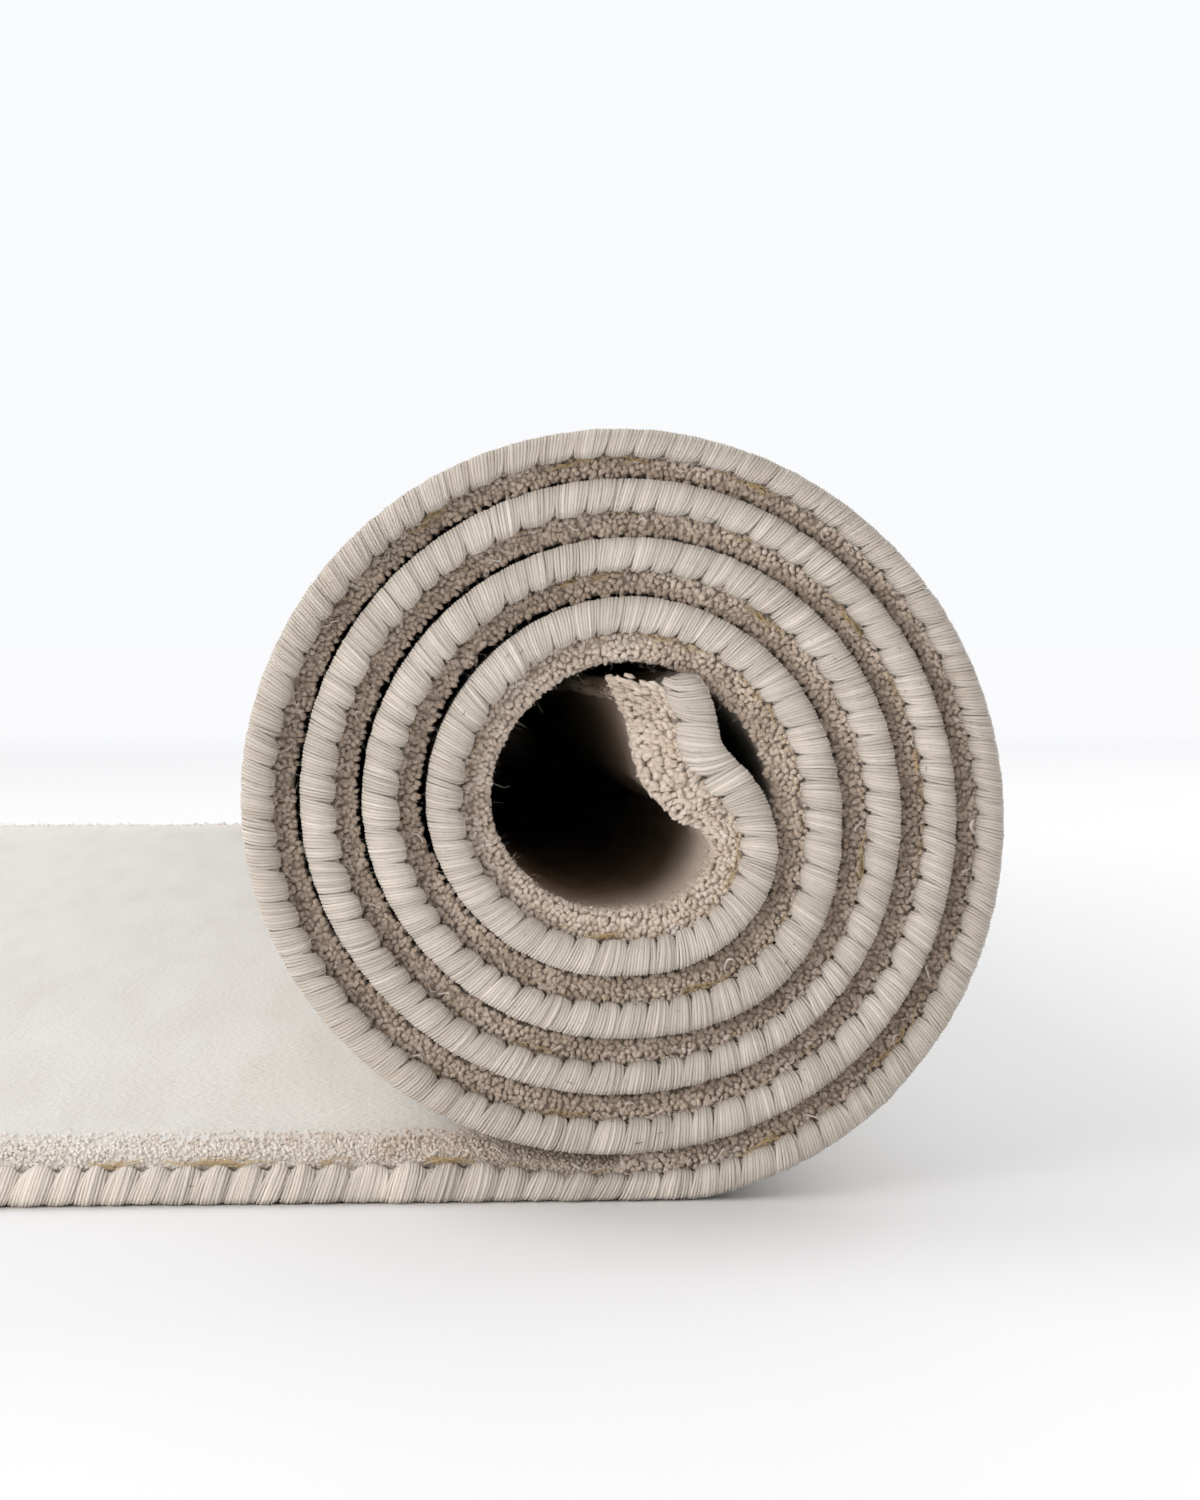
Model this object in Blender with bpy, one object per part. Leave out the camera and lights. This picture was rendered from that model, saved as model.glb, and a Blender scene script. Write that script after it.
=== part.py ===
"""A wool carpet, part of it rolled up with its pile inside and the rest still flat on the floor.

The carpet is one sheet, wound from its floor end to its core end, with a thick cord of overcast
yarn round all four edges. Metres, +Z up. The roll's axis runs along Y, the flat stretch lies
towards -X, and the origin is in the middle of the base.
"""

import math
from collections import namedtuple

import bpy
from mathutils import Vector

MM = 0.001

# The carpet as it was cut and bound.
CARPET_WIDTH = 1.220
CARPET_LENGTH = 1.900
FREE_THICKNESS = 13.2 * MM  # from the back to the pile tips, where nothing presses on the pile
NEUTRAL_DEPTH = 2.0 * MM  # depth of the woven ground that keeps its length as the carpet bends

# The overcast cord along the edges, flush with the carpet's back.
CORD_HEIGHT = 7.8 * MM
CORD_DEPTH = 8.6 * MM
CORD_CORNER = 2.4 * MM

# Spaces between pieces, and between one turn of the roll and the next.
PIECE_GAP = 0.3 * MM
TURN_GAP = 0.6 * MM

# The roll's four full turns, from the outside in. Each row is the distance in millimetres from
# the roll's axis to the carpet's back in eight directions, as the carpet winds round.
AXIS_HEIGHT = 77.4 * MM
Turn = namedtuple("Turn", "down down_right right up_right up up_left left down_left")
TURNS_MM = (
    Turn(78.6, 78.6, 77.2, 76.9, 77.6, 77.8, 76.4, 71.6),
    Turn(68.2, 68.4, 67.6, 67.4, 67.8, 66.6, 64.6, 59.4),
    Turn(56.2, 57.0, 56.4, 56.5, 56.0, 54.2, 52.2, 47.4),
    Turn(45.0, 47.0, 44.4, 44.4, 44.2, 41.6, 39.4, 35.0),
)
# The core end, which leaves its turn on the right and bends back up against it. The angle is
# from straight down, and grows as the carpet winds round. The last stretch is straight.
CoreRow = namedtuple("CoreRow", "angle_deg back_mm")
CORE_END = (
    CoreRow(0, 32.4),
    CoreRow(24, 33.2),
    CoreRow(48, 33.7),
    CoreRow(72, 32.8),
    CoreRow(90, 30.4),
    CoreRow(106, 27.6),
    CoreRow(119, 25.3),
    CoreRow(128, 25.2),
    CoreRow(148, 31.6),
)
TURN_STEP_DEG = 12
LIFT_SOFTNESS = 0.5 * MM  # how gently the carpet leaves the floor
STATIONS_UNDER_ROLL = 3
LINE_SAMPLES = 3000

GROUND_COLOUR = (0.60, 0.53, 0.45)
YARN_COLOUR = (0.72, 0.68, 0.62)


# ---- the winding line -------------------------------------------------------------------------

def winding_rows():
    """(angle in degrees, distance from the axis to the back) of every row, outside to inside."""
    rows = []
    for number, turn in enumerate(TURNS_MM):
        for eighth, back in enumerate(turn):
            rows.append((360 * number + 45 * eighth, back * MM))
    core = 360 * len(TURNS_MM)
    return rows + [(core + row.angle_deg, row.back_mm * MM) for row in CORE_END]


def smooth_distance(rows, angle):
    """The distance to the back at one angle, on a smooth curve through the rows."""
    i = next((n for n in range(len(rows) - 1) if angle <= rows[n + 1][0]), len(rows) - 2)
    before, here, there, after = (rows[max(0, min(i + k, len(rows) - 1))] for k in (-1, 0, 1, 2))
    span = there[0] - here[0]
    t = (angle - here[0]) / span
    leaving = (there[1] - before[1]) / (there[0] - before[0]) * span
    arriving = (after[1] - here[1]) / (after[0] - here[0]) * span
    return (
        here[1] * (1 + 2 * t) * (1 - t) ** 2
        + leaving * t * (1 - t) ** 2
        + there[1] * t**2 * (3 - 2 * t)
        + arriving * t**2 * (t - 1)
    )


def back_point(rows, angle):
    """The carpet's back, across the axis: right of the axis and up from the floor."""
    distance = smooth_distance(rows, angle)
    turned = math.radians(angle)
    if angle < 45:
        floor = AXIS_HEIGHT / math.cos(turned)
        apart = math.hypot(floor - distance, LIFT_SOFTNESS)
        distance = min(floor, (floor + distance - apart + LIFT_SOFTNESS) / 2)
    height = AXIS_HEIGHT - distance * math.cos(turned)
    return Vector((distance * math.sin(turned), max(0.0, height)))


def line_length(points):
    return sum((b - a).length for a, b in zip(points, points[1:]))


def rolled_angles():
    """The angles of the roll's stations: even round the turns, then closer along the core end."""
    core = 360 * len(TURNS_MM)
    angles = list(range(0, core, TURN_STEP_DEG))
    for row, following in zip(CORE_END[:-2], CORE_END[1:]):
        angles += [core + row.angle_deg, core + (row.angle_deg + following.angle_deg) / 2]
    return angles + [core + row.angle_deg for row in CORE_END[-2:]]


def flat_points(rows, rolled_length):
    """The flat stretch's back: its floor end, then the stations that lie straight below those of
    the turn on top of them. It takes the length of carpet that the roll leaves."""
    points = [Vector((rolled_length - CARPET_LENGTH, 0.0))]
    for step in range(STATIONS_UNDER_ROLL, 0, -1):
        above = back_point(rows, 360 - TURN_STEP_DEG * step)
        points.append(Vector((above.x, 0.0)))
    return points


def winding_line():
    """The back's line across the axis, from the floor end to the core end, the axis at x = 0."""
    rows = winding_rows()
    last = rows[-1][0]
    fine = [back_point(rows, last * n / LINE_SAMPLES) for n in range(LINE_SAMPLES + 1)]
    rolled_length = line_length(fine) - math.radians(last) * NEUTRAL_DEPTH
    rolled = [back_point(rows, angle) for angle in rolled_angles()]
    return flat_points(rows, rolled_length) + rolled


def shortened(line, length):
    """The line without this much of its start."""
    while (line[1] - line[0]).length <= length:
        length -= (line[1] - line[0]).length
        line = line[1:]
    return [line[0] + (line[1] - line[0]).normalized() * length] + line[1:]


def between_cords(line):
    """The line of the carpet itself, which stops where the cords along its two ends begin."""
    length = CORD_DEPTH + PIECE_GAP
    return shortened(shortened(line, length)[::-1], length)[::-1]


def directions(line):
    """The way the line runs at each of its points."""
    return [
        (line[min(i + 1, len(line) - 1)] - line[max(i - 1, 0)]).normalized()
        for i in range(len(line))
    ]


def to_pile(direction):
    """The pile stands on the left of the way that the carpet winds."""
    return Vector((-direction.y, direction.x))


def raised(line, heights):
    """The line moved off the back towards the pile, by a height for each point."""
    return [
        point + to_pile(direction) * height
        for point, direction, height in zip(line, directions(line), heights)
    ]


def room(point, across, line):
    """How far it is from a point, in the direction across, to the nearest run of the line."""
    nearest = math.inf
    for start, end in zip(line, line[1:]):
        run = end - start
        slant = across.cross(run)
        if abs(slant) < 1e-12:
            continue
        distance = (start - point).cross(run) / slant
        share = (start - point).cross(across) / slant
        if distance > 1e-6 and 0 <= share <= 1:
            nearest = min(nearest, distance)
    return nearest


def pile_heights(line, whole_line):
    """The carpet's thickness at each point: free, or as much as the turns inside it leave."""
    heights = []
    for i, (point, direction) in enumerate(zip(line, directions(line))):
        inside = whole_line[i + 2:]
        heights.append(min(FREE_THICKNESS, room(point, to_pile(direction), inside) - TURN_GAP))
    return heights


# ---- shapes -----------------------------------------------------------------------------------

def clear_scene():
    for obj in list(bpy.data.objects):
        bpy.data.objects.remove(obj, do_unlink=True)


def new_collection(name):
    collection = bpy.data.collections.new(name)
    bpy.context.scene.collection.children.link(collection)
    return collection


def wool(name, colour):
    material = bpy.data.materials.new(name)
    material.use_nodes = True
    shader = material.node_tree.nodes["Principled BSDF"]
    shader.inputs["Base Color"].default_value = (*colour, 1.0)
    shader.inputs["Roughness"].default_value = 0.95
    shader.inputs["Metallic"].default_value = 0.0
    return material


def flat_curve(name, points, collection, closed):
    """A curve through points of a plane. Placed upright, the plane is the one across the axis."""
    curve = bpy.data.curves.new(name, "CURVE")
    curve.dimensions = "2D"
    spline = curve.splines.new("POLY")
    spline.points.add(len(points) - 1)
    for spline_point, point in zip(spline.points, points):
        spline_point.co = (point.x, point.y, 0.0, 1.0)
    spline.use_cyclic_u = closed
    obj = bpy.data.objects.new(name, curve)
    collection.objects.link(obj)
    return obj


def stand_upright(obj, middle):
    obj.rotation_euler = (math.radians(90), 0, 0)
    obj.location = (-middle.x, middle.y, 0)


def slab(name, outline, width, material, collection, middle):
    """A solid with this outline across the axis, as long as the width along it."""
    obj = flat_curve(name, outline, collection, closed=True)
    obj.data.fill_mode = "BOTH"
    obj.data.extrude = width / 2
    obj.data.materials.append(material)
    stand_upright(obj, middle)
    return obj


def cord_outline(height, depth):
    """The cord's section: a box with cut corners, its middle at zero."""
    up, out = height / 2, depth / 2
    corners = (
        (up, CORD_CORNER - out), (up - CORD_CORNER, -out),
        (CORD_CORNER - up, -out), (-up, CORD_CORNER - out),
        (-up, out - CORD_CORNER), (CORD_CORNER - up, out),
        (up - CORD_CORNER, out), (up, out - CORD_CORNER),
    )
    return [Vector(corner) for corner in corners]


def swept_cord(name, line, section, material, collection, middle):
    """The overcast cord along one side of the carpet, swept round every turn."""
    path = raised(line, [CORD_HEIGHT / 2] * len(line))
    obj = flat_curve(name, path, collection, closed=False)
    obj.data.bevel_mode = "OBJECT"
    obj.data.bevel_object = section
    obj.data.use_fill_caps = True
    obj.data.materials.append(material)
    stand_upright(obj, middle)
    return obj


def end_cord(name, start, end, width, material, collection, middle):
    """The overcast cord across one end of the carpet, between the two side cords."""
    along = (end - start).normalized()
    centre = (start + end) / 2 + to_pile(along) * CORD_HEIGHT / 2
    outline = [
        centre + to_pile(along) * corner.x + along * corner.y
        for corner in cord_outline(CORD_HEIGHT, CORD_DEPTH)
    ]
    return slab(name, outline, width, material, collection, middle)


def main():
    clear_scene()
    pieces = new_collection("rolled_up_carpet")
    guides = new_collection("guides")
    ground = wool("carpet_wool", GROUND_COLOUR)
    yarn = wool("overcast_wool", YARN_COLOUR)

    line = winding_line()
    middle = (min(p.x for p in line) + max(p.x for p in line)) / 2
    inner_width = CARPET_WIDTH - 2 * (CORD_DEPTH + PIECE_GAP)

    body = between_cords(line)
    pile = raised(body, pile_heights(body, line))
    slab("carpet", body + pile[::-1], inner_width, ground, pieces, Vector((middle, 0)))

    section = flat_curve("cord_section", cord_outline(CORD_HEIGHT, CORD_DEPTH), guides, True)
    section.hide_render = True
    section.display_type = "WIRE"
    side = (CARPET_WIDTH - CORD_DEPTH) / 2
    for name, place in (("overcast_front", -side), ("overcast_back", side)):
        swept_cord(name, line, section, yarn, pieces, Vector((middle, place)))

    for name, end in (("overcast_floor_end", line), ("overcast_core_end", line[::-1])):
        rest = shortened(end, CORD_DEPTH)
        edge = [end[0], rest[0]] if end is line else [rest[0], end[0]]
        end_cord(name, *edge, inner_width, yarn, pieces, Vector((middle, 0)))


main()
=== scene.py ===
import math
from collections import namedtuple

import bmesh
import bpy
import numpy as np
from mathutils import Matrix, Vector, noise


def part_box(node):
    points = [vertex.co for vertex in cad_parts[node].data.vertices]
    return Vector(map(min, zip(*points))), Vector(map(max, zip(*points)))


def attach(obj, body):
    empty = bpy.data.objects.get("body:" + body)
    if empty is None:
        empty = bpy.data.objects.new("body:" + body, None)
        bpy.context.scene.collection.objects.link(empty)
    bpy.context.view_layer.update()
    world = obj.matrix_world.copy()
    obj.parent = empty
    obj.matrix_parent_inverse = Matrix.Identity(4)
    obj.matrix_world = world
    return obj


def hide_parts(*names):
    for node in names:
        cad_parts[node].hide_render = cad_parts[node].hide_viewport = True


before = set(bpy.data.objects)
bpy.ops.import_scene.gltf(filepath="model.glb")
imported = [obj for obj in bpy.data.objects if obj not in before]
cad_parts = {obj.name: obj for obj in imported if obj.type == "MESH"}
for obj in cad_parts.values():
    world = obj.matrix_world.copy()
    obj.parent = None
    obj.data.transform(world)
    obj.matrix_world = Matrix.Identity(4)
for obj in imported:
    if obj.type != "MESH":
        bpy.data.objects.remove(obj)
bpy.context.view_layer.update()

# The looks of a thick undyed wool carpet, part of it rolled up with its pile inside.
#
# Everything is first laid out as on the open carpet: "along" runs from the floor end to the core
# end, "across" from the middle to the back edge, and "height" from the carpet's back up into the
# pile. Winding.place then takes each point to where it lies on the floor or in the roll.

MM = 0.001
SEED = 11

# ---- the carpet's sizes, as in the CAD model ----------------------------------------------------

CARPET_WIDTH = 1.220
CARPET_LENGTH = 1.900
FREE_THICKNESS = 13.2 * MM
NEUTRAL_DEPTH = 2.0 * MM
CORD_DEPTH = 8.6 * MM
TURN_GAP = 0.6 * MM
AXIS_HEIGHT = 77.4 * MM
LIFT_SOFTNESS = 0.5 * MM

Turn = namedtuple("Turn", "down down_right right up_right up up_left left down_left")
TURNS_MM = (
    Turn(78.6, 78.6, 77.2, 76.9, 77.6, 77.8, 76.4, 71.6),
    Turn(68.2, 68.4, 67.6, 67.4, 67.8, 66.6, 64.6, 59.4),
    Turn(56.2, 57.0, 56.4, 56.5, 56.0, 54.2, 52.2, 47.4),
    Turn(45.0, 47.0, 44.4, 44.4, 44.2, 41.6, 39.4, 35.0),
)
CoreRow = namedtuple("CoreRow", "angle_deg back_mm")
CORE_END = (
    CoreRow(0, 32.4),
    CoreRow(24, 33.2),
    CoreRow(48, 33.7),
    CoreRow(72, 32.8),
    CoreRow(90, 30.4),
    CoreRow(106, 27.6),
    CoreRow(119, 25.3),
    CoreRow(128, 25.2),
    CoreRow(148, 31.6),
)

# ---- the sizes of the yarn and the pile --------------------------------------------------------

YARN_HEIGHT = 7.3 * MM  # of the overcast edge, over its strands
STRAND_PITCH = 0.68 * MM
STRAND_WIDTH = 0.80 * MM  # they overlap a little
STRAND_THICKNESS = 0.52 * MM
BUNDLE_WIDTH = 6.2 * MM  # the strands of one pass through the ground lie together
FILLING_INSET = 1.1 * MM  # from the outside of the edge in to the cord under its strands
# Painted shade: the cord under the strands is darker than them, so the gaps between strands look
# shaded.
FILLING_TONE = 0.3
ROUNDING = 1e-9  # keeps the last bundle from leaving a sliver for one more
NUB_PITCH = 1.1 * MM  # of the little lumps of wool that make up the pile
NUB_ROW_PITCH = 1.0 * MM
NUB_LENGTH = 2.15 * MM
BACK_COARSENESS = 2.3  # the lumps are this much larger on the back edge and at the two ends
PILE_FACE = 7.0 * MM  # from the edge of the carpet in to the upright face of the pile
EDGE_START = 4 * MM  # from the floor end to the first lumps
END_FACE_REACH = 3.4 * MM  # the pile's faces at the two ends stand this much further out
SEAM_DEPTH = 0.8 * MM  # the lumps start this far below the top of the overcast edge

# ---- how the pile spreads over the bent core end -----------------------------------------------

CORE_TIP_REACH = 3.0 * MM  # the end itself is drawn out by this much
PILE_FAN = 0.95  # how far the pile leans out over the end, for its height
PILE_OPENING = 0.6  # how much longer it stands there
FIRM_HEIGHT = 5.5 * MM  # what is lower than this doesn't fan out


# ---- the winding line --------------------------------------------------------------------------

def winding_rows():
    """(angle in degrees, distance from the axis to the back) of every row, outside to inside."""
    rows = []
    for number, turn in enumerate(TURNS_MM):
        for eighth, back in enumerate(turn):
            rows.append((360 * number + 45 * eighth, back * MM))
    core = 360 * len(TURNS_MM)
    return rows + [(core + row.angle_deg, row.back_mm * MM) for row in CORE_END]


def smooth_distance(rows, angle):
    """The distance to the back at one angle, on a smooth curve through the rows."""
    i = next((n for n in range(len(rows) - 1) if angle <= rows[n + 1][0]), len(rows) - 2)
    before, here, there, after = (rows[max(0, min(i + k, len(rows) - 1))] for k in (-1, 0, 1, 2))
    span = there[0] - here[0]
    t = (angle - here[0]) / span
    leaving = (there[1] - before[1]) / (there[0] - before[0]) * span
    arriving = (after[1] - here[1]) / (after[0] - here[0]) * span
    return (
        here[1] * (1 + 2 * t) * (1 - t) ** 2
        + leaving * t * (1 - t) ** 2
        + there[1] * t**2 * (3 - 2 * t)
        + arriving * t**2 * (t - 1)
    )


def back_point(rows, angle):
    """The carpet's back: right of the axis and up from the floor."""
    distance = smooth_distance(rows, angle)
    turned = math.radians(angle)
    if angle < 45:
        floor = AXIS_HEIGHT / math.cos(turned)
        apart = math.hypot(floor - distance, LIFT_SOFTNESS)
        distance = min(floor, (floor + distance - apart + LIFT_SOFTNESS) / 2)
    height = AXIS_HEIGHT - distance * math.cos(turned)
    return distance * math.sin(turned), max(0.0, height)


def smoothed(values, reach):
    """A running mean over this many neighbours each way, the ends held."""
    padded = np.pad(values, reach, mode="edge")
    kernel = np.hanning(2 * reach + 3)[1:-1]
    return np.convolve(padded, kernel / kernel.sum(), mode="valid")


def smooth_step(values, low, high):
    """0 up to the low value, 1 from the high one, and a soft rise between them."""
    share = np.clip((values - low) / (high - low), 0, 1)
    return share * share * (3 - 2 * share)


class Winding:
    """Where the carpet's back runs, which way its pile stands, and how much room the pile has."""

    STEP = 0.5 * MM
    SAMPLES = 6000

    def __init__(self, floor_end_x):
        rows = winding_rows()
        last = rows[-1][0]
        angles = [last * n / self.SAMPLES for n in range(self.SAMPLES + 1)]
        rolled = np.array([back_point(rows, angle) for angle in angles])
        runs = np.hypot(*np.diff(rolled, axis=0).T)
        self.flat_length = CARPET_LENGTH - (runs.sum() - math.radians(last) * NEUTRAL_DEPTH)
        self.axis_x = floor_end_x + self.flat_length
        distances = self.flat_length + np.concatenate([[0], np.cumsum(runs)])
        self.length = distances[-1]
        self.along = np.arange(0, self.length, self.STEP)
        known = np.append(0, distances)
        x = np.interp(self.along, known, np.append(-self.flat_length, rolled[:, 0]))
        z = np.interp(self.along, known, np.append(0, rolled[:, 1]))
        self.x = x + self.axis_x
        self.z = z
        heading = smoothed(np.unwrap(np.arctan2(np.gradient(z), np.gradient(x))), 8)
        self.out_x, self.out_z = -np.sin(heading), np.cos(heading)
        self.turned = np.interp(self.along, distances, np.linspace(0, last, self.SAMPLES + 1))
        self.room = self.pile_room()

    def pile_room(self):
        """The carpet's thickness all along: free, or what the turns inside it leave."""
        skip = 6
        every = slice(None, None, skip)
        x, z = self.x[every], self.z[every]
        nx, nz = self.out_x[every], self.out_z[every]
        run_x, run_z = np.diff(x), np.diff(z)
        rooms = np.full(len(x), FREE_THICKNESS)
        for i in range(len(x)):
            ahead = slice(i + 4, None)
            dx, dz = x[:-1][ahead] - x[i], z[:-1][ahead] - z[i]
            slant = nx[i] * run_z[ahead] - nz[i] * run_x[ahead]
            slant = np.where(np.abs(slant) < 1e-12, 1e-12, slant)
            distance = (dx * run_z[ahead] - dz * run_x[ahead]) / slant
            share = (dx * nz[i] - dz * nx[i]) / slant
            hits = distance[(distance > 0) & (share >= -0.05) & (share <= 1.05)]
            if len(hits):
                rooms[i] = min(FREE_THICKNESS, hits.min() - TURN_GAP)
        return smoothed(np.interp(self.along, self.along[every], rooms), 6)

    def place(self, along, across, height):
        """Points on the wound carpet, as rows of x, y and z. The pile spreads over the core end."""
        fan = PILE_FAN * smooth_step(along, self.length - 18 * MM, self.length - 3 * MM)
        above = np.maximum(height - FIRM_HEIGHT, 0)
        tip = CORE_TIP_REACH * smooth_step(along, self.length - 45 * MM, self.length)
        fanned = fan * (above + 1.0 * MM * smooth_step(above, 0, 4 * MM))
        height = height + PILE_OPENING * self.bent_share(along) * above
        along = along + tip + fanned
        inside = np.clip(along, 0, self.along[-1])
        over = along - inside
        nx = np.interp(inside, self.along, self.out_x)
        nz = np.interp(inside, self.along, self.out_z)
        x = np.interp(inside, self.along, self.x) + nx * height + nz * over
        z = np.interp(inside, self.along, self.z) + nz * height - nx * over
        return np.stack([x, across + 0 * x, z], axis=-1)

    def bent_share(self, along):
        """0 along the carpet, rising to 1 where the core end bends back."""
        return smooth_step(along, self.length - 38 * MM, self.length - 14 * MM)

    def thickness(self, along):
        return np.interp(along, self.along, self.room)

    def yarn_height(self, along):
        """How high the overcast edge stands: pressed lower where the turns are close."""
        return np.clip(0.635 * self.thickness(along), 5.3 * MM, 7.7 * MM)

    def evenly(self, start, end, pitch, height):
        """Places along the carpet that come this pitch apart, at this height in the pile."""
        line = np.arange(start, end, 0.4 * MM)
        spots = self.place(line, 0 * line, height + 0 * line)
        runs = np.maximum(np.linalg.norm(np.diff(spots, axis=0), axis=1), 0.1 * MM)
        total = np.append(0, np.cumsum(runs))
        return np.interp(np.arange(0, total[-1], pitch), total, line)

    def stretch(self, along, height):
        """How much longer a short piece of the pile is at this height than at its foot."""
        step = 0.5 * MM
        here = self.place(along - step, 0 * along, height)
        there = self.place(along + step, 0 * along, height)
        return np.clip(np.linalg.norm(there - here, axis=-1) / (2 * step), 0.5, 3)

    def angle(self, along):
        """How far round the roll a place is, in degrees: 0 straight down on the outermost turn."""
        return np.interp(along, self.along, self.turned)


winding = Winding(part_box("overcast_front")[0].x)
FRONT = -CARPET_WIDTH / 2
ROLL_START = winding.flat_length
FREE_START = float(np.interp(360 * 3 + 150, winding.turned, winding.along))  # no turn inside it


# ---- making meshes -----------------------------------------------------------------------------

def soft_noise(points, size, seed=0.0):
    """Smooth noise about -1 to 1 at each point, with lumps of this size."""
    shift = Vector((seed, seed * 0.7, -seed))
    return np.array([noise.noise(Vector(p) / size + shift) for p in points])


def mesh_arrays(bm):
    """A bmesh's points and triangles, for copying many times."""
    bmesh.ops.triangulate(bm, faces=bm.faces[:])
    bm.verts.ensure_lookup_table()
    points = np.array([v.co for v in bm.verts])
    faces = np.array([[v.index for v in f.verts] for f in bm.faces])
    bm.free()
    return points, faces


def rod(sides, rings):
    """A rod of radius 1 from z = 0 to z = 1, its ends closed, with this many rings between."""
    bm = bmesh.new()
    bmesh.ops.create_cone(
        bm, cap_ends=True, cap_tris=False, segments=sides, radius1=1, radius2=1, depth=1
    )
    bmesh.ops.translate(bm, verts=bm.verts[:], vec=(0, 0, 0.5))
    if rings:
        upright = [e for e in bm.edges if abs(e.verts[0].co.z - e.verts[1].co.z) > 0.5]
        bmesh.ops.subdivide_edges(bm, edges=upright, cuts=rings, use_grid_fill=True)
    return mesh_arrays(bm)


def add_object(name, data):
    obj = bpy.data.objects.new(name, data)
    bpy.context.scene.collection.objects.link(obj)
    return obj


def new_piece(name, points, faces):
    """A smooth mesh object at the origin, from arrays of points and of triangles."""
    mesh = bpy.data.meshes.new(name)
    mesh.vertices.add(len(points))
    mesh.vertices.foreach_set("co", points.astype(np.float32).ravel())
    mesh.loops.add(faces.size)
    mesh.loops.foreach_set("vertex_index", faces.astype(np.int32).ravel())
    mesh.polygons.add(len(faces))
    mesh.polygons.foreach_set("loop_start", np.arange(0, faces.size, 3, dtype=np.int32))
    mesh.polygons.foreach_set("use_smooth", np.full(len(faces), True))
    mesh.update(calc_edges=True)
    return add_object(name, mesh)


def add_values(obj, name, values):
    """A number for each point of the mesh, which a material can read by its name."""
    attribute = obj.data.attributes.new(name, "FLOAT", "POINT")
    attribute.data.foreach_set("value", np.ascontiguousarray(values, dtype=np.float32).ravel())


def add_uv(obj, uv):
    """A UV map from one pair of numbers for each point."""
    layer = obj.data.uv_layers.new(name="laid_out")
    corner_points = np.zeros(len(obj.data.loops), np.int32)
    obj.data.loops.foreach_get("vertex_index", corner_points)
    layer.data.foreach_set("uv", uv[corner_points].astype(np.float32).ravel())


def many(name, shape, points, tones, uv):
    """One mesh of many copies of a shape: points has a row of the shape's points for each copy."""
    _, faces = shape
    count, size = points.shape[:2]
    starts = np.arange(count)[:, None, None] * size
    obj = new_piece(name, points.reshape(-1, 3), (faces[None] + starts).reshape(-1, 3))
    add_values(obj, "tone", np.repeat(tones, size))
    add_uv(obj, uv.reshape(-1, 2))
    return obj


def finish_piece(obj, node, material):
    """The piece rides on the one body, and stands for its CAD node."""
    obj.data.materials.append(material)
    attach(obj, "root")
    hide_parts(node)
    return obj


# ---- materials ---------------------------------------------------------------------------------

class Nodes:
    """Short ways to lay out one material's nodes."""

    def __init__(self, name):
        self.material = bpy.data.materials.new(name)
        self.material.use_nodes = True
        self.tree = self.material.node_tree
        self.shader = self.tree.nodes["Principled BSDF"]
        self.texture_places = self.tree.nodes.new("ShaderNodeTexCoord")

    def add(self, kind, inputs=(), **settings):
        node = self.tree.nodes.new(kind)
        for key, value in settings.items():
            setattr(node, key, value)
        for key, value in dict(inputs).items():
            if hasattr(value, "is_output"):
                self.tree.links.new(value, node.inputs[key])
            else:
                node.inputs[key].default_value = value
        return node

    def noise(self, scale, detail=2.0, where=None):
        place = where or self.texture_places.outputs["Object"]
        return self.add(
            "ShaderNodeTexNoise", {"Vector": place, "Scale": scale, "Detail": detail}
        ).outputs["Fac"]

    def value(self, name):
        return self.add("ShaderNodeAttribute", attribute_name=name).outputs["Fac"]

    def ramp(self, amount, *stops):
        node = self.add("ShaderNodeValToRGB", {"Fac": amount})
        elements = node.color_ramp.elements
        while len(elements) < len(stops):
            elements.new(0.5)
        for element, (position, colour) in zip(elements, stops):
            element.position = position
            element.color = (*colour, 1.0)
        return node.outputs["Color"]

    def blend(self, a, b, share):
        """Two values added up, the first one by this share and the second by the rest."""
        first = self.add("ShaderNodeMath", {0: a, 1: share}, operation="MULTIPLY")
        second = self.add("ShaderNodeMath", {0: b, 1: 1 - share}, operation="MULTIPLY")
        both = {0: first.outputs["Value"], 1: second.outputs["Value"]}
        return self.add("ShaderNodeMath", both, operation="ADD").outputs["Value"]

    def mix(self, amount, a, b):
        node = self.add("ShaderNodeMix", {"Factor": amount}, data_type="RGBA")
        for socket, value in ((node.inputs[6], a), (node.inputs[7], b)):
            if hasattr(value, "is_output"):
                self.tree.links.new(value, socket)
            else:
                socket.default_value = (*value, 1.0)
        return node.outputs[2]

    def bump(self, height, distance, strength=1.0, under=None):
        inputs = {"Height": height, "Distance": distance, "Strength": strength}
        if under is not None:
            inputs["Normal"] = under
        return self.add("ShaderNodeBump", inputs).outputs["Normal"]

    def wool(self, colour, normal, sheen=0.25):
        self.tree.links.new(colour, self.shader.inputs["Base Color"])
        self.tree.links.new(normal, self.shader.inputs["Normal"])
        self.shader.inputs["Roughness"].default_value = 0.92
        self.shader.inputs["Specular IOR Level"].default_value = 0.15
        self.shader.inputs["Sheen Weight"].default_value = sheen
        self.shader.inputs["Sheen Roughness"].default_value = 0.45
        return self.material


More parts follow.
